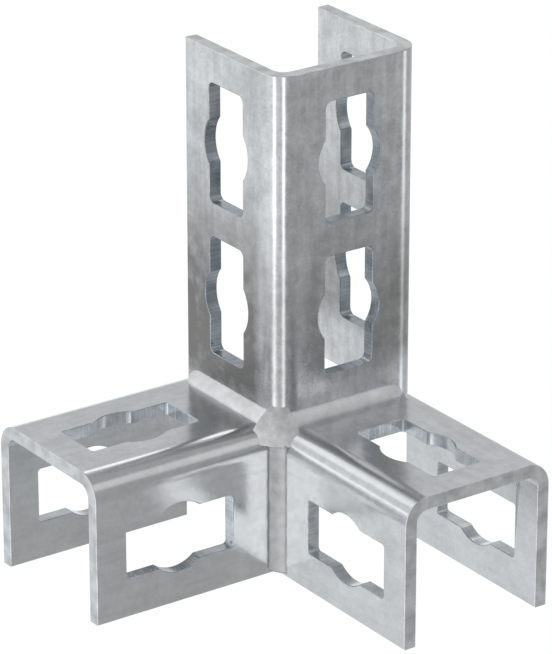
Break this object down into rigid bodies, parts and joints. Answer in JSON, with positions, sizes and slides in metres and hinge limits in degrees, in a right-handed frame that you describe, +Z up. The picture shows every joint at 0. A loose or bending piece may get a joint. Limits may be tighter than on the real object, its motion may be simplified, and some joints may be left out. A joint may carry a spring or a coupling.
{
  "type": "strut angle fitting",
  "caption": "Three-way corner fitting for metal strut: slotted, folded channels welded at right angles round an open corner.",
  "frame": {"origin": "on the floor below the middle of the fitting's box; it stands on the free edges of its two arms", "axes": "+Z up along the upright channel, +X out along one arm, -Y out along the other"},
  "size_m": [0.1112, 0.1112, 0.1495],
  "materials": {
    "galvanised_steel": "hot-dip galvanised, satin",
    "galvanised_weld": "hot-dip galvanised over weld, smooth satin"
  },
  "bodies": {
    "root": {"upright_channel": "galvanised_steel", "left_arm_channel": "galvanised_steel", "right_arm_channel": "galvanised_steel", "corner_weld": "galvanised_weld", "left_weld": "galvanised_weld", "right_weld": "galvanised_weld", "front_weld": "galvanised_weld"}
  },
  "joints": []
}
